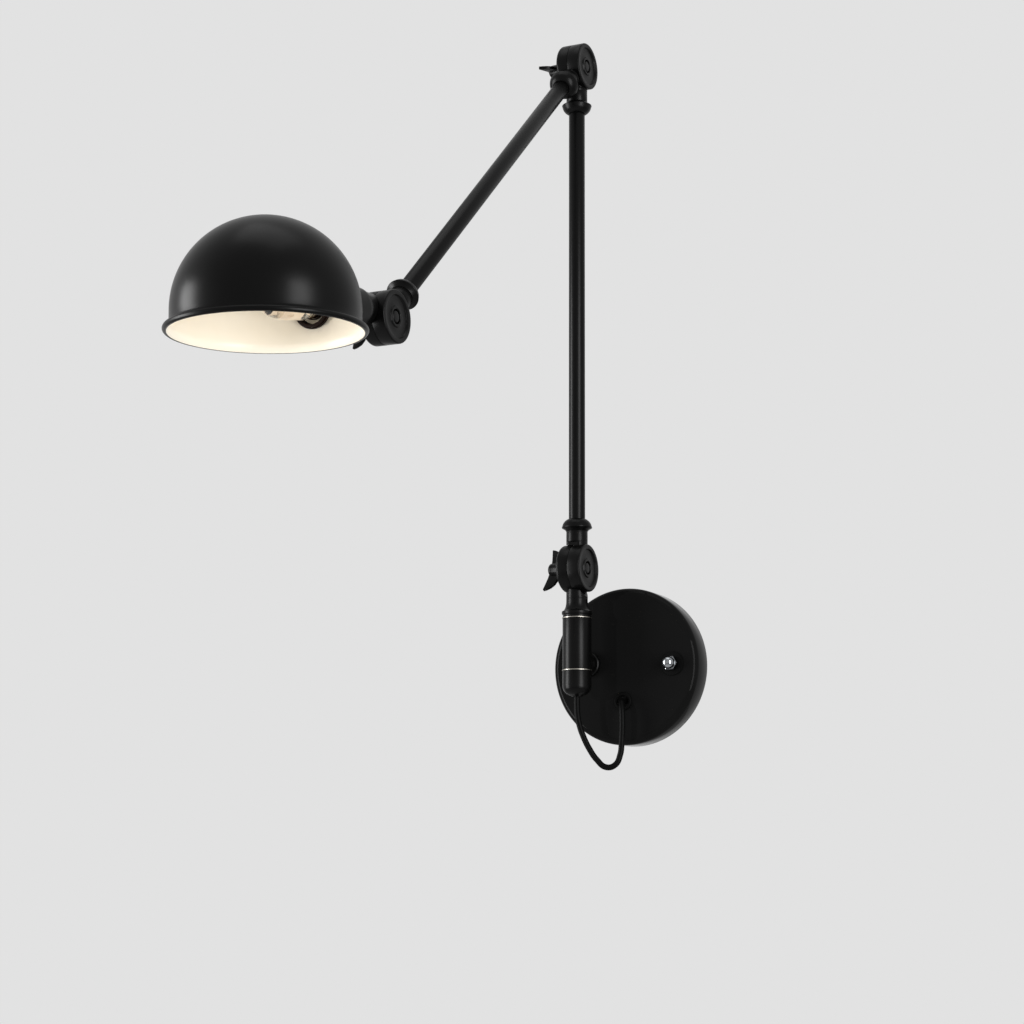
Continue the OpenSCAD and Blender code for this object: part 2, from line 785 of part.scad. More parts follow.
module head_knuckle() {
    color("#1b1b1b") at_head() {
        difference() {
            left_shell();
            along_neck() translate([0, 0, hub_r + cut]) cylinder(r = lead_hole_r, h = knuckle_r);
        }
        difference() {
            along_neck() difference() {
                rotate_extrude() polygon(concat(
                    [[0, head_root], [shade_neck_d / 2, head_root]],
                    [[shade_neck_d / 2, flare_start], [flare_r, shade_neck_end], [0, shade_neck_end]]
                ));
                cylinder(r = lead_hole_r, h = shade_neck_end + cut);
                translate([0, 0, nipple_start]) cylinder(r = nipple_r + snug, h = shade_neck_end);
            }
            other_half(1);
            along_pivot(-1) translate([0, 0, left_h - round_r])
                cylinder(r = knuckle_r - round_r, h = knuckle_r);
        }
    }
}

module socket_cup() {
    cup_r = cup_d / 2;
    neck = flare_r;
    curve_h = cup_straight - shade_neck_end;
    color("#181818") difference() {
        at_head() along_neck() rotate_extrude() polygon(concat(
            [[nipple_r + snug, shade_neck_end], [neck, shade_neck_end]],
            [for (a = [0:10:90]) [neck + (cup_r - neck) * sin(a), cup_straight - curve_h * cos(a)]],
            [[cup_r, holder_end], [cup_r - cup_wall, holder_end], [cup_r - cup_wall, cup_straight]],
            [for (a = [80:-20:20]) [neck - 1 + (cup_r - cup_wall - neck + 1) * sin(a),
                                    cup_straight + cup_wall - curve_h * cos(a) + 0.3]],
            [[neck - 1, shade_neck_end + cup_wall + 0.3], [nipple_r + snug, shade_neck_end + cup_wall + 0.3]]
        ));
        translate(dome_at) sphere(r = dome_r + snug);
    }
}

module socket_nipple() {
    color("#b08d4a") at_head() along_neck() translate([0, 0, nipple_start])
        tube(nipple_r, nipple_bore_r, nipple_end - nipple_start);
}

module nipple_nut() {
    color("#b08d4a") at_head() along_neck() translate([0, 0, shade_neck_end + cup_wall + 0.3])
        hex_nut(14, nipple_r + snug, nipple_nut_h);
}

module lampholder() {
    color("#14100e") at_head() along_neck() difference() {
        translate([0, 0, holder_start]) cylinder(r = holder_r, h = holder_end - holder_start);
        translate([0, 0, holder_floor]) cylinder(r = holder_r - holder_wall, h = holder_end);
        translate([0, 0, holder_start - cut])
            cylinder(r = nipple_r + snug, h = nipple_end - holder_start + cut);
        cylinder(r = cord_r, h = holder_end);
    }
}

module socket_shell() {
    color("#c9a85a") at_head() along_neck() rotate_extrude() polygon([
        [contact_r + 1.5, holder_floor], [holder_r - holder_wall - snug, holder_floor],
        [holder_r - holder_wall - snug, holder_floor + 1], [shell_r, holder_floor + 1], [shell_r, shell_end],
        [shell_r - shell_wall, shell_end], [shell_r - shell_wall, holder_floor + 1],
        [contact_r + 1.5, holder_floor + 1]
    ]);
}

module socket_contact() {
    color("#c9a85a") at_head() along_neck() translate([0, 0, holder_floor])
        cylinder(r = contact_r, h = bulb_cap_start - holder_floor - 1.5);
}

module shade_ring() {
    color("#14100e") at_head() along_neck() translate([0, 0, shade_ring_start])
        tube(holder_r + shade_ring_w, holder_r + snug, shade_ring_t);
}

module shade() {
    bead_c = [dome_r + bead_out, -rim_drop + bead_r];
    lip = bead_c[1] + bead_r + 2;
    color("#161616") difference() {
        translate(dome_at) rotate([shade_tilt, 0, 0]) rotate_extrude() polygon(concat(
            arc([0, 0], dome_r, 90, 0, 24),
            [[dome_r, lip], [dome_r + 0.25, lip - 1.1]],
            arc(bead_c, bead_r, 130, -150, 14),
            [[dome_r - 0.5, bead_c[1] + 0.6], [dome_in_r + 0.1, lip - 1.4], [dome_in_r, lip]],
            arc([0, 0], dome_in_r, 0, 90, 24)
        ));
        at_head() along_neck() translate([0, 0, holder_start])
            cylinder(r = holder_r + loose, h = holder_end - holder_start);
    }
}

module bulb_cap() {
    color("#c9b27a") at_head() along_neck() {
        translate([0, 0, bulb_cap_start]) cylinder(r = bulb_cap_r, h = bulb_cap_end - bulb_cap_start);
        translate([0, 0, bulb_cap_start - 1.5 + snug]) cylinder(r = contact_r, h = 2);
    }
}

// Outline of the bulb's glass, drawn in by t for its inside
function glass_outline(t) = let (
    tip = bulb_cap_end + glass_len - glass_tip,
    s0 = bulb_cap_end + 2
) concat(
    [[glass_neck_r - t, bulb_cap_end]],
    [for (k = [0:0.25:1])
        [glass_neck_r + (glass_r - glass_neck_r) * (1 - cos(180 * k)) / 2 - t, s0 + 9 * k]],
    [for (a = [0:10:80]) [(glass_r - t) * cos(a), tip + (glass_tip - t) * sin(a)]],
    [[0, tip + glass_tip - t]]
);

module bulb_glass() {
    color("#f4ead2") at_head() along_neck() rotate_extrude() difference() {
        polygon(concat([[0, bulb_cap_end]], glass_outline(0)));
        polygon(concat(
            [[0, bulb_cap_end - cut], [glass_neck_r - glass_wall, bulb_cap_end - cut]],
            glass_outline(glass_wall)
        ));
    }
}

module bulb_filament() {
    color("#e8b050") at_head() along_neck() translate([0, 0, bulb_cap_end]) {
        cylinder(r1 = 4, r2 = 1.6, h = 16);
        for (s = [-1, 1]) rotate([0, s * 8, 0]) translate([0, 0, 8]) cylinder(r = 0.5, h = 28);
        translate([0, 0, 35.2]) rotate([0, 90, 0]) cylinder(r = 0.7, h = 11.6, center = true);
    }
}

canopy();
mounting_bar();
canopy_stud();
nut_washer();
acorn_nut();
pivot_stub();
backing_plate();
stub_lock_nut();
barrel();
barrel_top_ring();
barrel_bottom_ring();
barrel_cap();
cable_grommet();
terminal_block();
terminal_screws();
earth_screw();
barrel_lead();
cord_loop();
base_knuckle();
spindle_washer();
spindle_nut();
lower_pressure_washer();
lower_arm_foot();
lower_arm_head();
lower_arm_tube();
lower_arm_collars();
lower_arm_bushes();
lower_arm_lead();
lower_bolt();
upper_bolt();
lower_friction_washer();
upper_friction_washer();
upper_arm_head();
upper_arm_foot();
upper_arm_tube();
upper_arm_collars();
upper_arm_bushes();
upper_arm_lead();
head_bolt();
upper_pressure_washer();
head_friction_washer();
lower_wing_nut();
upper_wing_nut();
head_wing_nut();
head_knuckle();
head_pressure_washer();
socket_cup();
socket_nipple();
nipple_nut();
lampholder();
socket_shell();
socket_contact();
shade_ring();
shade();
bulb_cap();
bulb_glass();
bulb_filament();
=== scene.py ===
import math

import bmesh
import bpy
from mathutils import Matrix, Vector


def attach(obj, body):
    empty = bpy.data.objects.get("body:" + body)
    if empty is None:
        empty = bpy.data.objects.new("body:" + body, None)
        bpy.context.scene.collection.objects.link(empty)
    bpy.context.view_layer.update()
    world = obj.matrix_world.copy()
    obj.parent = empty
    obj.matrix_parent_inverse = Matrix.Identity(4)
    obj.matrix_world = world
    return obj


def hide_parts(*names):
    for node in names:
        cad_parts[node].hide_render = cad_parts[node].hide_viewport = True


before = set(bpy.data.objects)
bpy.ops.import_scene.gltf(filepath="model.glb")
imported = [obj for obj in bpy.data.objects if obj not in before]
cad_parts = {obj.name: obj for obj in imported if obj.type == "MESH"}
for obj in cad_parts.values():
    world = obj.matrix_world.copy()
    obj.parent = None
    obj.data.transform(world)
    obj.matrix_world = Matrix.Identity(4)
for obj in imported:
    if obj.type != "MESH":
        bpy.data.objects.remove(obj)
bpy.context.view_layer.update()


# Camera: a long lens that stands right of the lamp, a little below it, and looks slightly up
# It stands where the photograph was taken from; its place is in metres and its lens in millimetres.
camera_place = (0.7610, -1.6872, -0.1914)
lens_length, sensor_width = 84.770, 36
heading, pitch, roll = (math.radians(angle) for angle in (27.2266, -9.6147, 0.2453))
backward = Vector((math.sin(heading) * math.cos(pitch), -math.cos(heading) * math.cos(pitch),
                   math.sin(pitch)))
level = Vector((math.cos(heading), math.sin(heading), 0))
upright = backward.cross(level)
right = math.cos(roll) * level + math.sin(roll) * upright
up = math.cos(roll) * upright - math.sin(roll) * level
camera_turn = Matrix((right, up, backward)).transposed().to_4x4()
camera = bpy.data.objects.new("camera", bpy.data.cameras.new("camera"))
camera.data.sensor_width = sensor_width
camera.data.lens = lens_length
camera.matrix_world = Matrix.Translation(camera_place) @ camera_turn
bpy.context.scene.collection.objects.link(camera)
bpy.context.scene.camera = camera


# Cable: a limp flex in a black sheath, 4.5 mm thick, that hangs in a loop from the cap to the canopy
# It comes straight down out of the cap, bends round under its own weight, and rises to the grommet.
# Shapes are given in mm from the middle of the canopy's back, and scaled to metres.
mm = 0.001


def linear(hex_colour):
    """Turns an sRGB colour such as "#1a1a1a" into Blender's linear colour."""
    parts = [int(hex_colour[i:i + 2], 16) / 255 for i in (1, 3, 5)]
    return [c / 12.92 if c <= 0.04045 else ((c + 0.055) / 1.055) ** 2.4 for c in parts] + [1]


def add(tree, kind, settings=None, **inputs):
    """Adds a node; an input takes a value, or the output socket of another node."""
    made = tree.nodes.new(kind)
    for name, value in (settings or {}).items():
        setattr(made, name, value)
    for name, value in inputs.items():
        socket = made.inputs[name.replace("_", " ")]
        if isinstance(value, bpy.types.NodeSocket):
            tree.links.new(value, socket)
        else:
            socket.default_value = value
    return made


def new_material(name):
    """An empty material with its node tree and the object's own coordinates in metres."""
    made = bpy.data.materials.new(name)
    made.use_nodes = True
    made.node_tree.nodes.clear()
    return made, made.node_tree, add(made.node_tree, "ShaderNodeTexCoord").outputs["Object"]


def patches(size):
    """The Scale of a noise whose patches have a size in mm: how many of them fill a metre."""
    return round(1 / (size * mm))


def dress(nodes, material):
    """Gives one material to CAD nodes that keep their own shapes."""
    for node in nodes:
        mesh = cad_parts[node].data
        mesh.materials.clear()
        mesh.materials.append(material)


# Flexible PVC sheath, extruded: almost black, with a soft sheen and faint drag marks
# The real marks are under 0.2 mm; they are drawn at 0.6 mm, so that they show.
cable_sheath, tree, place = new_material("black_pvc_sheath")
drag = add(tree, "ShaderNodeTexNoise", Vector=place, Scale=patches(0.625), Detail=2)
tone = add(tree, "ShaderNodeTexNoise", Vector=place, Scale=patches(11.1))
rough = add(tree, "ShaderNodeMapRange", Value=tone.outputs["Fac"], To_Min=0.38, To_Max=0.5)
bump = add(tree, "ShaderNodeBump", Height=drag.outputs["Fac"], Strength=0.25, Distance=0.04 * mm)
shader = add(tree, "ShaderNodeBsdfPrincipled", Base_Color=linear("#050505"), Normal=bump.outputs[0],
             Roughness=rough.outputs[0], Specular_IOR_Level=0.04)
add(tree, "ShaderNodeOutputMaterial", Surface=shader.outputs[0])

route = [
    (-28.2, -44.5, -24.4), (-28.2, -44.5, -30), (-27.8, -44.5, -38), (-26.4, -44, -46), (-23.6, -43, -54.5),
    (-19.5, -41.5, -63.5), (-14, -39.5, -72), (-7.5, -37.5, -77.5), (-1, -35.5, -76), (2.8, -34, -68),
    (3.6, -33.2, -58), (4, -33, -48), (4, -33, -40), (3.6, -32.6, -34), (2.4, -30.4, -29.4),
    (0.8, -26.6, -27.3), (0, -22, -27), (0, -18, -27), (0, -15, -27),
]
cable_radius = 2.25
line = bpy.data.curves.new("cord_loop_flex", "CURVE")
line.dimensions = "3D"
line.bevel_depth = cable_radius * mm
line.bevel_resolution = 8
line.resolution_u = 10
line.use_fill_caps = True
spline = line.splines.new("BEZIER")
spline.bezier_points.add(len(route) - 1)
for point, at in zip(spline.bezier_points, route):
    point.co = Vector(at) * mm
    point.handle_left_type = point.handle_right_type = "AUTO"
line.materials.append(cable_sheath)
flex = bpy.data.objects.new("cord_loop_flex", line)
bpy.context.scene.collection.objects.link(flex)
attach(flex, "wall_base")
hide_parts("cord_loop")
dress(["barrel_lead", "lower_arm_lead", "upper_arm_lead"], cable_sheath)


# Canopy: round cup of deep-drawn steel with a rolled shoulder, stove-enamelled gloss black
# It hangs on the bracket's stud and covers the wiring; stub, cap nut and grommet sit in its holes.
def turned(outline, edge=0.25, steps=96, closed=True):
    """Turns an outline of (radius, height) in mm round +Z and eases its keen edges.

    An outline that starts and ends on the axis has no edge between its ends: closed=False.
    """
    bm = bmesh.new()
    points = [bm.verts.new((radius, 0, height)) for radius, height in outline]
    following = points[1:] + points[:1] if closed else points[1:]
    edges = [bm.edges.new(pair) for pair in zip(points, following)]
    bmesh.ops.spin(bm, geom=points + edges, cent=(0, 0, 0), axis=(0, 0, 1), angle=math.tau, steps=steps,
                   use_merge=True)
    bmesh.ops.remove_doubles(bm, verts=bm.verts, dist=0.0005)
    bmesh.ops.recalc_face_normals(bm, faces=bm.faces)
    if edge:
        eased(bm, edge)
    return bm


keen_angle, sharp_angle = 0.6, math.radians(40)


def eased(bm, edge, segments=2):
    """Rounds the keen edges of a mesh in mm."""
    keen = [e for e in bm.edges if e.is_manifold and e.calc_face_angle(0) > keen_angle]
    bmesh.ops.bevel(bm, geom=keen, offset=edge, affect="EDGES", segments=segments, profile=0.5, material=-1,
                    clamp_overlap=True)


def arc(r, z, radius, start, end, n, height=None):
    """Points of an arc round (r, z), from one angle to another in degrees; height flattens it."""
    angles = [math.radians(start + (end - start) * i / n) for i in range(n + 1)]
    return [(r + radius * math.cos(a), z + (height or radius) * math.sin(a)) for a in angles]


def facing(at, along):
    """The place of a piece whose +Z points along a direction from a point in mm."""
    turn = Vector((0, 0, 1)).rotation_difference(Vector(along))
    return Matrix.Translation(at) @ turn.to_matrix().to_4x4()


def about(axis, angle, at=(0, 0, 0)):
    """The place of a piece turned by degrees about an axis through a point in mm."""
    return Matrix.Translation(at) @ Matrix.Rotation(math.radians(angle), 4, axis)


def finished(name, body, stands_for, slot, parts, *materials):
    """Joins parts, each a mesh in mm and its place, into an object that rides on a body."""
    whole = bmesh.new()
    for part, place in parts:
        bmesh.ops.transform(part, verts=part.verts, matrix=Matrix.Scale(mm, 4) @ place)
        mesh = bpy.data.meshes.new("part")
        part.to_mesh(mesh)
        part.free()
        whole.from_mesh(mesh)
        bpy.data.meshes.remove(mesh)
    for face in whole.faces:
        face.smooth = True
    mesh = bpy.data.meshes.new(name)
    whole.to_mesh(mesh)
    whole.free()
    mesh.set_sharp_from_angle(angle=sharp_angle)
    for material in materials:
        mesh.materials.append(material)
    piece = bpy.data.objects.new(name, mesh)
    bpy.context.scene.collection.objects.link(piece)
    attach(piece, body)
    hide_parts(*stands_for)


# Gloss black stove enamel, sprayed and baked: deep black, sharp reflections, a very slight orange peel
gloss_enamel, tree, place = new_material("gloss_black_stove_enamel")
peel = add(tree, "ShaderNodeTexNoise", Vector=place, Scale=patches(2.86), Detail=1)
haze = add(tree, "ShaderNodeTexNoise", Vector=place, Scale=patches(16.7), Detail=4)
rough = add(tree, "ShaderNodeMapRange", Value=haze.outputs["Fac"], To_Min=0.05, To_Max=0.08)
bump = add(tree, "ShaderNodeBump", Height=peel.outputs["Fac"], Strength=0.12, Distance=0.04 * mm)
shader = add(tree, "ShaderNodeBsdfPrincipled", Base_Color=linear("#0e0e0e"), Normal=bump.outputs[0],
             Roughness=rough.outputs[0], Specular_IOR_Level=0.02)
add(tree, "ShaderNodeOutputMaterial", Surface=shader.outputs[0])

cup_radius, cup_depth, cup_sheet, shoulder = 60, 22, 1.5, 6
bend = (cup_radius - shoulder, cup_depth - shoulder)
cup = ([(0, cup_depth - cup_sheet)] + arc(*bend, shoulder - cup_sheet, 90, 0, 12)
       + [(cup_radius - cup_sheet, 0), (cup_radius, 0)] + arc(*bend, shoulder, 0, 90, 16) + [(0, cup_depth)])
outward = (0, -1, 0)
finished("canopy_cup", "wall_base", ["canopy"], "gloss_black",
         [(turned(cup, steps=128, closed=False), facing((0, 0, 0), outward))], gloss_enamel)


# Barrel and stub: turned steel, powder-coated satin black, screwed to the canopy by a flanged stub
# The barrel is bored for the spindle; its cap has a spigot in the bore and an outlet for the cable.

# Satin powder coat, sprayed and baked: black with a wide soft sheen and a slightly cloudy gloss
# Its real grain is under 0.2 mm; it is drawn at 0.45 mm, so that it shows.
satin_coat, tree, place = new_material("satin_black_powder_coat")
grain = add(tree, "ShaderNodeTexNoise", Vector=place, Scale=patches(0.4545), Detail=2)
cloud = add(tree, "ShaderNodeTexNoise", Vector=place, Scale=patches(14.3), Detail=3)
rough = add(tree, "ShaderNodeMapRange", Value=cloud.outputs["Fac"], To_Min=0.27, To_Max=0.34)
bump = add(tree, "ShaderNodeBump", Height=grain.outputs["Fac"], Strength=0.3, Distance=0.03 * mm)
shader = add(tree, "ShaderNodeBsdfPrincipled", Base_Color=linear("#050505"), Normal=bump.outputs[0],
             Roughness=rough.outputs[0], Specular_IOR_Level=0.085)
add(tree, "ShaderNodeOutputMaterial", Surface=shader.outputs[0])

bore, barrel_radius, barrel_foot, barrel_top = 8, 11, -4, 35.2
spindle_hole, stub_reach = 5.08, 35.4
barrel_axis = Matrix.Translation((-28.2, -44.5, 0))
barrel = [(bore, barrel_foot), (barrel_radius, barrel_foot), (barrel_radius, barrel_top),
          (spindle_hole, barrel_top), (spindle_hole, barrel_top - 4), (bore, barrel_top - 4)]
finished("barrel_body", "wall_base", ["barrel"], "satin_black",
         [(turned(barrel, edge=0.3), barrel_axis)], satin_coat)

stub = [(0, 13.5), (4.5, 13.5), (4.5, cup_depth), (9.25, cup_depth), (9.25, 25), (8.25, 26), (5.9, 26),
        (5.9, stub_reach), (0, stub_reach)]
finished("stub_body", "wall_base", ["pivot_stub"], "satin_black",
         [(turned(stub, edge=0.3, closed=False), facing((-28.2, 0, 2), outward))], satin_coat)

ring_seat, outlet = -4.7, 2.3
cap = ([(outlet, -24.4), (3.5, -24.4)] + arc(3.5, -16.2, 7.5, -80, 0, 10, 7.4)
       + [(barrel_radius, ring_seat), (7.95, ring_seat), (7.95, -3.2), (6.5, -3.2), (6.5, -6.7), (8, -7.7)]
       + arc(outlet, -16.2, 5.75, 0, -80, 4, 5.2) + [(outlet, -21.4)])
finished("barrel_cap_shell", "wall_base", ["barrel_cap"], "satin_black",
         [(turned(cap, edge=0.2), barrel_axis)], satin_coat)


# Rings: thin washers at both ends of the barrel, turned from brass and nickelled
# They stand 0.35 mm proud of the barrel, so each shows as a fine bright line.

# Satin nickel, electroplated: warm grey metal with fine marks round the axis
satin_nickel, tree, place = new_material("satin_nickel")
lathe = add(tree, "ShaderNodeTexNoise", Vector=place, Scale=patches(1.111), Detail=2)
rough = add(tree, "ShaderNodeMapRange", Value=lathe.outputs["Fac"], To_Min=0.3, To_Max=0.42)
shader = add(tree, "ShaderNodeBsdfPrincipled", Base_Color=linear("#8e8b84"), Metallic=1,
             Roughness=rough.outputs[0])
add(tree, "ShaderNodeOutputMaterial", Surface=shader.outputs[0])

ring_radius = 11.35
for ring, node, hole, foot, top in (("ring_above", "barrel_top_ring", 5.2, barrel_top, 35.9),
                                    ("ring_below", "barrel_bottom_ring", 8.05, ring_seat, barrel_foot)):
    washer = [(hole, foot), (ring_radius, foot), (ring_radius, top), (hole, top)]
    finished(ring, "wall_base", [node], "bright_ring",
             [(turned(washer, edge=0.12), barrel_axis)], satin_nickel)


# Cap nut, washer and grommet: a hexagon nut with a domed cap on the stud that holds the canopy
# The nut is chromed; the washer under it and the cable's grommet are moulded rubber.

# Polished chrome, electroplated: bright and cold, with sharp reflections and a few wipe marks
chrome, tree, place = new_material("polished_chrome")
wipe = add(tree, "ShaderNodeTexNoise", Vector=place, Scale=patches(2), Detail=5)
rough = add(tree, "ShaderNodeMapRange", Value=wipe.outputs["Fac"], To_Min=0.04, To_Max=0.12)
shader = add(tree, "ShaderNodeBsdfPrincipled", Base_Color=linear("#8f9295"), Metallic=1,
             Roughness=rough.outputs[0])
add(tree, "ShaderNodeOutputMaterial", Surface=shader.outputs[0])

# Black rubber, moulded: matt, with a fine grain, drawn at 0.56 mm so that it shows
rubber, tree, place = new_material("matt_black_rubber")
grain = add(tree, "ShaderNodeTexNoise", Vector=place, Scale=patches(0.5556), Detail=3)
bump = add(tree, "ShaderNodeBump", Height=grain.outputs["Fac"], Strength=0.4, Distance=0.05 * mm)
shader = add(tree, "ShaderNodeBsdfPrincipled", Base_Color=linear("#060606"), Normal=bump.outputs[0],
             Roughness=0.6, Specular_IOR_Level=0.03)
add(tree, "ShaderNodeOutputMaterial", Surface=shader.outputs[0])

stud_face = facing((40.8, 0, 0), outward)
grommet_face = facing((0, 0, -27), outward)
hexagon_corner, hexagon_height, hexagon_middle = 5.77, 5, 25.7
hexagon = bmesh.new()
bmesh.ops.create_cone(hexagon, cap_ends=True, segments=6, radius1=hexagon_corner, radius2=hexagon_corner,
                      depth=hexagon_height, matrix=about("Z", 30, (0, 0, hexagon_middle)))
eased(hexagon, 0.45)
nut_dome = [(0, 28), (4.7, 28)] + arc(0, 30.2, 4.7, 0, 86, 12) + [(0, 34.9)]
finished("cap_nut", "wall_base", ["acorn_nut"], "chrome",
         [(hexagon, stud_face), (turned(nut_dome, edge=0.15, steps=64, closed=False), stud_face)], chrome)
soft_washer = [(3.2, cup_depth), (9, cup_depth), (9, 23.2), (3.2, 23.2)]
finished("cap_nut_washer", "wall_base", ["nut_washer"], "rubber_black",
         [(turned(soft_washer, edge=0.3), stud_face)], rubber)
grommet = ([(outlet, 18.9), (6.7, 18.9), (6.7, 20.47), (5.4, 20.47), (5.4, cup_depth), (7.1, cup_depth)]
           + arc(5.9, 22.8, 1.2, 0, 90, 6) + arc(5.3, 23.1, 0.9, 90, 180, 6) + [(4.4, 22.4), (outlet, 21.6)])
finished("grommet_ring", "wall_base", ["cable_grommet"], "rubber_black",
         [(turned(grommet, edge=0.1, steps=64), grommet_face)], rubber)


# Knuckles: pairs of cast iron halves that a bolt draws together, powder-coated satin black
# Left halves have a round shoulder; right ones a raised rim, a sunk face and a boss for the bolt's head.
# The highest knuckle holds the two arms 47.5 degrees apart.
low_pivot = Vector((-28.2, -44.5, 73.5))
high_pivot = Vector((-28.2, -44.5, 473.5))
head_pivot = Vector((-28.2, -339.411, 203.264))
fold = 47.5
half_gap, knuckle_radius, rim_inside, hub, hub_face = 0.15, 18.25, 14.85, 6.5, 0.5
neck, root, neck_top, rim_clearance = 8.2, 8.15, 28.8, 18.65


def bar(radius, start, end, flat=None, planes=(), rim=None, segments=72):
    """A round bar along +Z with eased edges, from start to end.

    It may be flattened fore and aft, cut by planes (a point and the kept side), and hollowed to a rim.
    """
    bm = bmesh.new()
    bmesh.ops.create_cone(bm, cap_ends=True, segments=segments, radius1=radius, radius2=radius,
                          depth=end - start, matrix=Matrix.Translation((0, 0, (start + end) / 2)))
    for point, kept in planes:
        bmesh.ops.bisect_plane(bm, geom=bm.verts[:] + bm.edges[:] + bm.faces[:], plane_co=point,
                               plane_no=kept, clear_inner=True)
        bmesh.ops.holes_fill(bm, edges=[e for e in bm.edges if e.is_boundary])
    for v in bm.verts:
        if flat:
            v.co.y = max(-flat, min(flat, v.co.y))
        if rim and v.co.z < start + 0.01:
            v.co.z = math.sqrt(rim ** 2 - v.co.y ** 2)
    bmesh.ops.recalc_face_normals(bm, faces=bm.faces)
    eased(bm, 0.25)
    return bm


def half_shell(side):
    """The round half of a knuckle, turned outward from its middle: side 1 is right, -1 is left."""
    if side > 0:
        bolt_hole, hollow = 3.05, 5.5
        back = (arc(17.25, 8.9, 1, 0, 90, 5)
                + [(rim_inside, 9.9), (14.25, 8.5), (7.4, 8.5), (6.9, 9.3), (5.5, 9.3), (5.1, 8.9),
                   (5.1, 5.2), (bolt_hole, 5.2)])
    else:
        bolt_hole, hollow = 3.08, 7.1
        back = arc(15.65, 7.5, 2.6, 0, 90, 9) + [(bolt_hole, 10.1)]
    return turned([(bolt_hole, hub_face), (hub, hub_face), (hub, hollow), (rim_inside, hollow),
                   (rim_inside, half_gap), (knuckle_radius, half_gap)] + back, edge=0.1)


def arm_half(name, body, node, side, at, angle):
    """A half knuckle on a body: its neck points up, then turns by an angle about the pivot."""
    put = about("X", angle, at)
    finished(name, body, [node], "satin_black",
             [(half_shell(side), facing(at, (side, 0, 0))),
              (bar(root, 15, 19, flat=6.75, planes=[((side * half_gap, 0, 0), (side, 0, 0))]), put),
              (bar(neck, 17, 20.5, flat=6.8, rim=rim_clearance), put),
              (bar(neck, 20.4, neck_top), put)], satin_coat)


arm_half("low_right_half", "lower_arm", "lower_arm_foot", 1, low_pivot, 0)
arm_half("high_right_half", "lower_arm", "lower_arm_head", 1, high_pivot, 180)
arm_half("high_left_half", "upper_arm", "upper_arm_head", -1, high_pivot, 180 - fold)
arm_half("far_right_half", "upper_arm", "upper_arm_foot", 1, head_pivot, -fold)

# The lowest left half: its neck is notched beside the rim, flares to a flange and ends in the spindle
flange, spindle = 11.6, 5
put = about("X", 180, low_pivot)
flared = ([(0, 22.8), (neck, 22.8)] + arc(flange, 25, -3.4, 0, 70, 7, 8)
          + [(flange, 33), (flange, 35.2), (10.8, 35.6), (10.8, 37.6), (spindle, 37.6), (spindle, 55.3),
             (0, 55.3)])
finished("low_left_half", "swivel", ["base_knuckle"], "satin_black",
         [(half_shell(-1), facing(low_pivot, (-1, 0, 0))),
          (bar(root, 15, 19, planes=[((-half_gap, 0, 0), (-1, 0, 0))]), put),
          (bar(neck, 17, 22.9, planes=[((6, 0, 18.6), (-4.2, 0, 2.7))], rim=rim_clearance), put),
          (turned(flared, closed=False), put)], satin_coat)

# The head's left half: its neck starts level with the rim, leans down by 12.5 degrees and widens to the bell
# Its line passes 7 mm above the pivot, which lies 1.515 mm along that line and 6.835 mm below it.
neck_rise, pivot_along, pivot_below = 7, 1.515, 6.835
neck_line = about("X", 102.5, head_pivot + Vector((-5.6, 0, neck_rise)))
cone_root, cone_end = 9.7, 28


def neck_radius(s):
    """The neck's radius at a distance along its line: it widens by 2.9 mm from 9 to 28 mm."""
    return cone_root + 2.9 * max(0, s - 9) / 19


def neck_start(y, clear):
    """Distance along the neck where a line on it, y above its axis, leaves a round about the pivot."""
    beyond = pivot_along ** 2 - y ** 2 - 2 * pivot_below * y - neck_rise ** 2 + clear ** 2
    return pivot_along + math.sqrt(max(0, beyond))


def cone_start(around):
    """The same for the widening neck, by five better guesses, since its radius grows on the way."""
    start = 18
    for guess in range(5):
        start = neck_start(neck_radius(start) * math.sin(around), rim_clearance)
    return start


# Points of the cone inside the knuckle's round move along its surface until they are out of it.
widening = [(neck_radius(s), s) for s in range(10, cone_end + 1)]
cone = turned([(0, 8), (cone_root, 8), (cone_root, 9)] + widening + [(0, cone_end)], edge=0, closed=False)
for v in cone.verts:
    around = math.atan2(v.co.y, v.co.x)
    if math.hypot(v.co.x, v.co.y) > 1:
        start = cone_start(around)
        if v.co.z < start:
            v.co = (neck_radius(start) * math.cos(around), neck_radius(start) * math.sin(around), start)
    elif v.co.z < 20:
        v.co.z = 18.8
bmesh.ops.remove_doubles(cone, verts=cone.verts, dist=0.01)
# Two roots join it to the shell: one beside the rim, and one that follows the shell's round shoulder.
inner_root = bar(cone_root, 8, 20, planes=[((5.45, 0, 0), (-1, 0, 0)), ((-4.4, 0, 0), (1, 0, 0))])
outer_root = bar(cone_root, 10, 20, planes=[((-4.3, 0, 0), (-1, 0, 0))])
for v in outer_root.verts:
    if v.co.z < 11:
        v.co.z = max(8, neck_start(v.co.y, 15.65))
finished("far_left_half", "head", ["head_knuckle"], "satin_black",
         [(half_shell(-1), facing(head_pivot, (-1, 0, 0))), (inner_root, neck_line), (outer_root, neck_line),
          (cone, neck_line)], satin_coat)


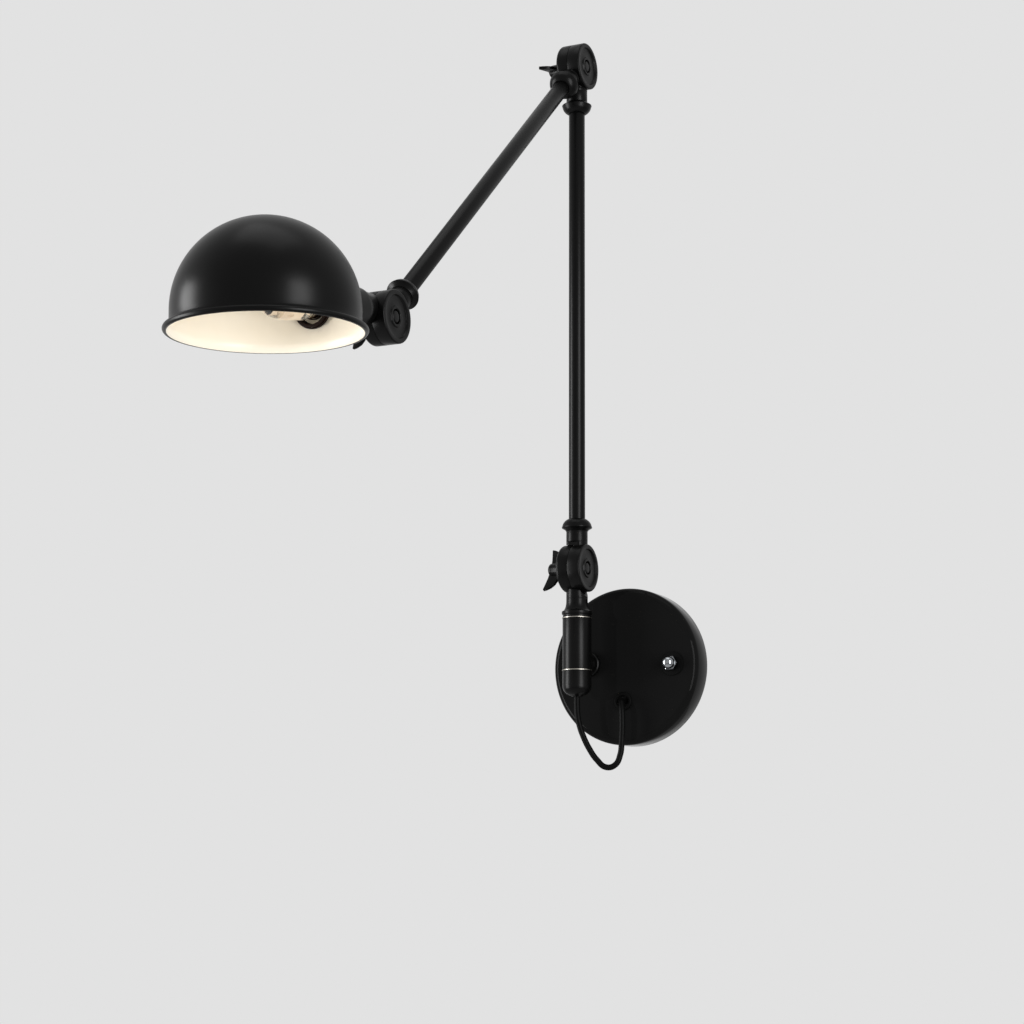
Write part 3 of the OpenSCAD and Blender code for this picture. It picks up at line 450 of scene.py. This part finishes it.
# Bolts, washers and wing nuts: each knuckle is clamped by a bolt keyed in its right half
# The wing nuts are cast with two pointed wings; all of them have the same satin coat.
bolt_radius, bolt_end, wing_thickness = 3, -20.8, 2.4
bolt = [(0, bolt_end), (bolt_radius, bolt_end), (bolt_radius, 5.2), (4.3, 5.2), (4.3, 7.8)] + arc(
    3.1, 7.8, 1.2, 0, 90, 5) + [(0, 9)]
for joint, body, at in (("lower", "lower_arm", low_pivot), ("upper", "lower_arm", high_pivot),
                        ("head", "upper_arm", head_pivot)):
    finished(joint + "_pivot", body, [joint + "_bolt"], "satin_black",
             [(turned(bolt, edge=0.15, steps=64, closed=False), facing(at, (1, 0, 0)))], satin_coat)

pressure_washer = [(3.2, 10.15), (8, 10.15), (8, 10.95), (3.2, 10.95)]
nut = ([(3.08, 11), (6.4, 11), (6.2, 12.6), (5.5, 13.6), (5.2, 20.8)] + arc(0, 20.8, 5.2, 15, 75, 4, 3)
       + [(0, 23.8), (0, 21), (3.08, 21)])
leaf_outline = [(4, 13), (9, 13.6), (13.6, 15.6), (16.4, 18.2), (18.1, 21.6), (18.8, 24.2), (18.1, 24.5),
                (15.4, 23.9), (8.5, 22.6), (4, 22.2)]
for joint, body, holder, at, turn in (("lower", "lower_wing", "swivel", low_pivot, 28),
                                      ("upper", "upper_wing", "upper_arm", high_pivot, 84),
                                      ("head", "head_wing", "head", head_pivot, -2)):
    finished(joint + "_washer", holder, [joint + "_pressure_washer"], "satin_black",
             [(turned(pressure_washer, edge=0.2, steps=64), facing(at, (-1, 0, 0)))], satin_coat)
    put = about("Y", -90, at) @ about("Z", turn)
    parts = [(turned(nut, steps=64, closed=False), put)]
    for side in (-1, 1):
        wing = bmesh.new()
        leaf = wing.faces.new([wing.verts.new((side * x, -wing_thickness / 2, z)) for x, z in leaf_outline])
        grown = bmesh.ops.extrude_face_region(wing, geom=[leaf])["geom"]
        bmesh.ops.translate(wing, verts=[v for v in grown if isinstance(v, bmesh.types.BMVert)],
                            vec=(0, wing_thickness, 0))
        bmesh.ops.recalc_face_normals(wing, faces=wing.faces)
        eased(wing, 0.7, segments=3)
        parts.append((wing, put))
    finished(joint + "_wings", body, [joint + "_wing_nut"], "satin_black", parts, satin_coat)


# Arms: drawn steel tubes in sockets in the necks, each end gripped by a flared clamping collar
# Both are powder-coated satin black like the knuckles, whose pivots are 400 mm apart on each arm.
arm_length, tube_socket, tube_bore, tube_radius = 400, 24.05, 5.05, 6.25
collar_end, collar_hole, lip, lip_height = 38.1, 6.3, 6.85, 31.9
bulge = [(lip + 4.45 * math.cos(math.radians(a)) ** 1.5, lip_height + 6.2 * math.sin(math.radians(a)))
         for a in range(8, 88, 8)]
collar = ([(collar_hole, neck_top), (8.4, neck_top), (9.2, 30), (11.3, 31.1), (11.6, 31.4),
           (11.6, lip_height)] + bulge + [(lip, collar_end), (collar_hole, collar_end)])
tube_end = arm_length - tube_socket
tube = [(tube_bore, tube_socket), (tube_radius, tube_socket), (tube_radius, tube_end), (tube_bore, tube_end)]
for arm, body, foot, top in (
        ("low", "lower_arm", about("X", 0, low_pivot), about("X", 180, high_pivot)),
        ("far", "upper_arm", about("X", -fold, head_pivot), about("X", 180 - fold, high_pivot))):
    finished(arm + "_tube", body, [body + "_tube"], "satin_black",
             [(turned(tube, edge=0.15, steps=72), foot)], satin_coat)
    finished(arm + "_collars", body, [body + "_collars"], "satin_black",
             [(turned(collar, edge=0.12, steps=72), place) for place in (foot, top)], satin_coat)


# Shade: a spun steel dome with a rolled bead, satin black outside, cream-white enamel inside
# The enamel covers the inside and the bead's underside; a bell and a ring clamp the dome's back.

# Cream-white vitreous enamel, fired: warm white, a soft gloss, a faint waviness
cream, tree, place = new_material("cream_white_enamel")
wave = add(tree, "ShaderNodeTexNoise", Vector=place, Scale=patches(22.2), Detail=2)
tint = add(tree, "ShaderNodeMixRGB", Fac=wave.outputs["Fac"], Color1=linear("#f6ecd9"),
           Color2=linear("#faf2e2"))
bump = add(tree, "ShaderNodeBump", Height=wave.outputs["Fac"], Strength=0.2, Distance=0.2 * mm)
shader = add(tree, "ShaderNodeBsdfPrincipled", Base_Color=tint.outputs[0], Normal=bump.outputs[0],
             Roughness=0.35, Specular_IOR_Level=0.4)
add(tree, "ShaderNodeOutputMaterial", Surface=shader.outputs[0])

dome_centre = Vector((-33.8, -474.411, 177.364))
dome_radius, dome_inside, wall_middle = 59.35, 58.15, 58.75
skirt_top, skirt_foot, enamel_edge, bead_middle = -4, -7.9, -10.4, 60.9
bead = (61.55, -11.8, 1.9)
outside = (arc(0, 0, dome_radius, 90, 0, 48)
           + [(dome_radius, skirt_top), (dome_radius, skirt_foot), (59.6, -9)] + arc(*bead, 130, -60, 14))
inside = (arc(*bead, -75, -150, 6)
          + [(58.85, -11.2), (58.25, -9.3), (dome_inside, skirt_foot), (dome_inside, skirt_top)]
          + arc(0, 0, dome_inside, 0, 90, 48))
shell = turned(outside + inside, edge=0, steps=160, closed=False)
# Each face gets the coat or the enamel: on the dome and its skirt by the wall's two sides, and on the
# bead by a line round its underside.
for face in shell.faces:
    middle = face.calc_center_median()
    within = math.hypot(middle.x, middle.y)
    if middle.z > skirt_top:
        coated = middle.length > wall_middle
    else:
        coated = within > wall_middle and middle.z > enamel_edge or within > bead_middle
    face.material_index = 0 if coated else 1
finished("shade_dome", "head", ["shade"], "shade_black", [(shell, about("X", 1.7, dome_centre))],
         satin_coat, cream)


# Lampholder: a dark brown bakelite sleeve in a steel bell, with the shade's ring nut round its mouth
# The bell is spun and coated like the shade, and its edge is cut to sit on the shade's dome.

# Bakelite, moulded under heat: dark brown and smooth, with a slight mottle
bakelite, tree, place = new_material("dark_brown_bakelite")
mottle = add(tree, "ShaderNodeTexNoise", Vector=place, Scale=patches(6.25), Detail=5)
tint = add(tree, "ShaderNodeMixRGB", Fac=mottle.outputs["Fac"], Color1=linear("#140b08"),
           Color2=linear("#20120d"))
shader = add(tree, "ShaderNodeBsdfPrincipled", Base_Color=tint.outputs[0], Roughness=0.5,
             Specular_IOR_Level=0.1)
add(tree, "ShaderNodeOutputMaterial", Surface=shader.outputs[0])

nipple_hole, bell_foot, bell_radius, bell_inside, bell_edge = 5.05, 28, 14.5, 13.3, 86
bell = turned([(nipple_hole, bell_foot), (12.6, bell_foot)] + arc(12.6, 35, 1.9, -85, 0, 17, 7)
              + [(bell_radius, bell_edge), (bell_inside, bell_edge), (bell_inside, 35)]
              + arc(11.6, 36.5, 1.7, -10, -80, 7, 7) + [(11.6, 29.5), (nipple_hole, 29.5)], edge=0.15)
# Its far edge is drawn back along the neck's line to a round just inside the dome's surface.
along = (neck_line.to_3x3() @ Vector((0, 0, 1))).normalized()
bell_seat = 58.9
for v in bell.verts:
    if v.co.z > 80:
        start = neck_line @ Vector((v.co.x, v.co.y, 0)) - dome_centre
        across = start.dot(along)
        v.co.z = -across - math.sqrt(across ** 2 - start.length_squared + bell_seat ** 2)
finished("holder_bell", "head", ["socket_cup"], "satin_black", [(bell, neck_line)], satin_coat)
sleeve = [(nipple_hole, 46), (12.5, 46), (12.5, 87), (10.5, 87), (10.5, 57), (2.25, 57), (2.25, 52),
          (nipple_hole, 52)]
finished("holder_sleeve", "head", ["lampholder"], "bakelite",
         [(turned(sleeve, edge=0.4), neck_line)], bakelite)
ring_nut = [(12.55, 83.35), (13.7, 83.35), (13.7, 85.3), (12.55, 85.3)]
finished("holder_ring", "head", ["shade_ring"], "bakelite",
         [(turned(ring_nut, edge=0.3), neck_line)], bakelite)


# Bulb: a small tubular lamp with a screwed brass cap, clear glass and a lit filament
# Its cap screws into the lampholder; the glass stands in the dome, round a stem and two glowing wires.

# Dark brass, rolled sheet: a dull dark brown metal, two browns mixed in patches
dark_brown_brass, tree, place = new_material("dark_brown_brass")
patchy_tone = add(tree, "ShaderNodeTexNoise", Vector=place, Scale=patches(8.33), Detail=4)
tint = add(tree, "ShaderNodeMixRGB", Fac=patchy_tone.outputs["Fac"], Color1=linear("#2c2016"),
           Color2=linear("#403022"))
shader = add(tree, "ShaderNodeBsdfPrincipled", Base_Color=tint.outputs[0], Metallic=1, Roughness=0.55)
add(tree, "ShaderNodeOutputMaterial", Surface=shader.outputs[0])

# Clear lamp glass, blown: colourless, thin and smooth
glass, tree, place = new_material("clear_lamp_glass")
ripple = add(tree, "ShaderNodeTexNoise", Vector=place, Scale=patches(8.33))
bump = add(tree, "ShaderNodeBump", Height=ripple.outputs["Fac"], Strength=0.1, Distance=0.1 * mm)
shader = add(tree, "ShaderNodeBsdfPrincipled", Base_Color=linear("#fbfaf6"), Normal=bump.outputs[0],
             Roughness=0.02, IOR=1.5, Transmission_Weight=1)
add(tree, "ShaderNodeOutputMaterial", Surface=shader.outputs[0])

# Lit filament, drawn tungsten: a warm white glow, a little uneven along the wires
glow, tree, place = new_material("lit_filament")
flicker = add(tree, "ShaderNodeTexNoise", Vector=place, Scale=patches(3.33))
tint = add(tree, "ShaderNodeMixRGB", Fac=flicker.outputs["Fac"], Color1=linear("#ffdcb4"),
           Color2=linear("#ffeed6"))
shader = add(tree, "ShaderNodeEmission", Color=tint.outputs[0], Strength=0.8)
add(tree, "ShaderNodeOutputMaterial", Surface=shader.outputs[0])

thread = [(6.2 + 0.5 * (k % 2), 63 + 1.45 * k) for k in range(15)]
glass_foot, foot_radius, swell, glass_wall, glass_bend, glass_end = 86, 6.1, 1.075, 0.8, 115, 141
screw_cap = ([(0, 59.6), (3, 59.6), (3, 61), (6, 61.4)] + thread
             + [(6.6, 84.4), (6.6, glass_foot), (0, glass_foot)])
finished("lamp_cap", "head", ["bulb_cap"], "brass",
         [(turned(screw_cap, edge=0.1, steps=64, closed=False), neck_line)], dark_brown_brass)
shoulder_curve = [(foot_radius + swell * (1 - math.cos(math.pi * k / 8)), 88 + 9 * k / 8) for k in range(9)]
envelope = ([(foot_radius, glass_foot)] + shoulder_curve + arc(0, glass_bend, 8.25, 0, 84, 14, 26)
            + [(0, glass_end), (0, glass_end - glass_wall)] + arc(0, glass_bend, 7.45, 84, 0, 14, 25.2)
            + [(r - glass_wall, z) for r, z in reversed(shoulder_curve)]
            + [(foot_radius - glass_wall, glass_foot)])
finished("lamp_glass", "head", ["bulb_glass"], "bulb_glass",
         [(turned(envelope, edge=0, steps=72, closed=False), neck_line)], glass)
stem_top, wire_radius, wire_foot, wire_top, wire_offset = 102, 0.5, 94, 122, 1.8
stem = turned([(0, glass_foot), (4, glass_foot), (1.6, stem_top), (0, stem_top)], edge=0.2, steps=32,
              closed=False)
# The stem is glass, and the wires on either side of it glow.
for face in stem.faces:
    face.material_index = 1
wires = [(bar(wire_radius, wire_foot, wire_top, segments=12), neck_line @ Matrix.Translation((x, 0, 0)))
         for x in (wire_offset, -wire_offset)]
finished("lamp_filament", "head", ["bulb_filament"], "filament", [(stem, neck_line)] + wires, glow, glass)


# Hidden fittings: bracket, stud, nuts, terminal block, screws, bushes and washers
# They keep their CAD shapes; each has the finish that such a fitting is sold with.
def fitting(name, colours, metallic, roughness, grain_size, depth, nodes):
    """A two-tone material with a grain of a size and depth in mm, put on the fittings made of it."""
    made, tree, place = new_material(name)
    grain = add(tree, "ShaderNodeTexNoise", Vector=place, Scale=patches(grain_size), Detail=4)
    tint = add(tree, "ShaderNodeMixRGB", Fac=grain.outputs["Fac"], Color1=linear(colours[0]),
               Color2=linear(colours[1]))
    bump = add(tree, "ShaderNodeBump", Height=grain.outputs["Fac"], Strength=0.3, Distance=depth * mm)
    shader = add(tree, "ShaderNodeBsdfPrincipled", Base_Color=tint.outputs[0], Metallic=metallic,
                 Normal=bump.outputs[0], Roughness=roughness)
    add(tree, "ShaderNodeOutputMaterial", Surface=shader.outputs[0])
    dress(nodes, made)


# Zinc plate: pale grey with a faint spangle
fitting("zinc_plated_steel", ("#9a9da0", "#b4b7ba"), metallic=1, roughness=0.35, grain_size=4.55, depth=0.03,
        nodes=["mounting_bar", "canopy_stud", "backing_plate", "spindle_washer", "spindle_nut"])
# Plain turned brass: yellow, with faint marks of the tool
fitting("turned_brass", ("#b8974a", "#ccae5e"), metallic=1, roughness=0.3, grain_size=3.33, depth=0.02,
        nodes=["stub_lock_nut", "terminal_screws", "earth_screw", "socket_nipple", "nipple_nut",
               "socket_contact"])
# Near-black brass: the socket's rolled shell, dark and dull beside the bulb
fitting("near_black_brass", ("#241a12", "#34261a"), metallic=1, roughness=0.6, grain_size=3.33, depth=0.02,
        nodes=["socket_shell"])
# Cream moulded plastic: matt, even
fitting("cream_moulded_plastic", ("#d4cbb4", "#ddd5c0"), metallic=0, roughness=0.5, grain_size=2.5,
        depth=0.02, nodes=["terminal_block"])
# Red-brown vulcanised fibre: matt and mottled
fitting("vulcanised_fibre", ("#5a4632", "#6a543c"), metallic=0, roughness=0.7, grain_size=2, depth=0.03,
        nodes=["lower_friction_washer", "upper_friction_washer", "head_friction_washer"])
# Grey turned nylon: even, with a low sheen
fitting("grey_nylon", ("#3c3c3c", "#484848"), metallic=0, roughness=0.5, grain_size=2, depth=0.02,
        nodes=["lower_arm_bushes", "upper_arm_bushes"])


# World, lamps and floor: a pale studio with two tall soft lights and one above
# The camera, reflections and glass see a pale grey; everything else is lit by a softer white.
world = bpy.data.worlds.new("studio")
bpy.context.scene.world = world
world.use_nodes = True
tree = world.node_tree
tree.nodes.clear()
rays = add(tree, "ShaderNodeLightPath")
seen = add(tree, "ShaderNodeMath", {"operation": "ADD"})
tree.links.new(rays.outputs["Is Camera Ray"], seen.inputs[0])
tree.links.new(rays.outputs["Is Glossy Ray"], seen.inputs[1])
shown = add(tree, "ShaderNodeMath", {"operation": "ADD", "use_clamp": True})
tree.links.new(seen.outputs[0], shown.inputs[0])
tree.links.new(rays.outputs["Is Transmission Ray"], shown.inputs[1])
soft = add(tree, "ShaderNodeBackground", Color=(1, 1, 1, 1), Strength=0.58)
pale = add(tree, "ShaderNodeBackground", Color=linear("#e2e2e2"), Strength=1)
mixed = add(tree, "ShaderNodeMixShader", Fac=shown.outputs[0])
tree.links.new(soft.outputs[0], mixed.inputs[1])
tree.links.new(pale.outputs[0], mixed.inputs[2])
add(tree, "ShaderNodeOutputWorld", Surface=mixed.outputs[0])
bpy.context.scene.view_settings.view_transform = "Standard"


def softbox(name, at, aim, width, height, power):
    """A soft light in metres and watts that points from one place at another."""
    lamp = bpy.data.lights.new(name, "AREA")
    lamp.shape = "RECTANGLE"
    lamp.size = width
    lamp.size_y = height
    lamp.energy = power
    box = bpy.data.objects.new(name, lamp)
    turn = (Vector(at) - Vector(aim)).to_track_quat("Z", "Y")
    box.matrix_world = Matrix.Translation(at) @ turn.to_matrix().to_4x4()
    box.visible_camera = False
    bpy.context.scene.collection.objects.link(box)


softbox("tall_left", at=(-1.63, -1.0, 0.05), aim=(0, -0.25, 0.15), width=0.7, height=1.6, power=54)
softbox("tall_right", at=(1.53, -0.95, 0.13), aim=(0, -0.25, 0.15), width=0.7, height=1.6, power=43)
softbox("overhead", at=(0.0, -0.5, 1.9), aim=(0, -0.3, 0.2), width=1.4, height=1.0, power=7)

floor_half_width, floor_height = 4, -1.4
ground = bmesh.new()
bmesh.ops.create_grid(ground, x_segments=1, y_segments=1, size=floor_half_width)
bmesh.ops.transform(ground, verts=ground.verts, matrix=Matrix.Translation((0, 0, floor_height)))
ground_mesh = bpy.data.meshes.new("floor")
ground.to_mesh(ground_mesh)
ground.free()
floor = bpy.data.objects.new("floor", ground_mesh)
bpy.context.scene.collection.objects.link(floor)
# Pale grey painted floor: matt, with faint specks
pale_floor, tree, place = new_material("pale_floor")
speck = add(tree, "ShaderNodeTexNoise", Vector=place, Scale=patches(25))
tint = add(tree, "ShaderNodeMixRGB", Fac=speck.outputs["Fac"], Color1=linear("#c0c0c0"),
           Color2=linear("#c8c8c8"))
shader = add(tree, "ShaderNodeBsdfPrincipled", Base_Color=tint.outputs[0], Roughness=0.9,
             Specular_IOR_Level=0.1)
add(tree, "ShaderNodeOutputMaterial", Surface=shader.outputs[0])
ground_mesh.materials.append(pale_floor)
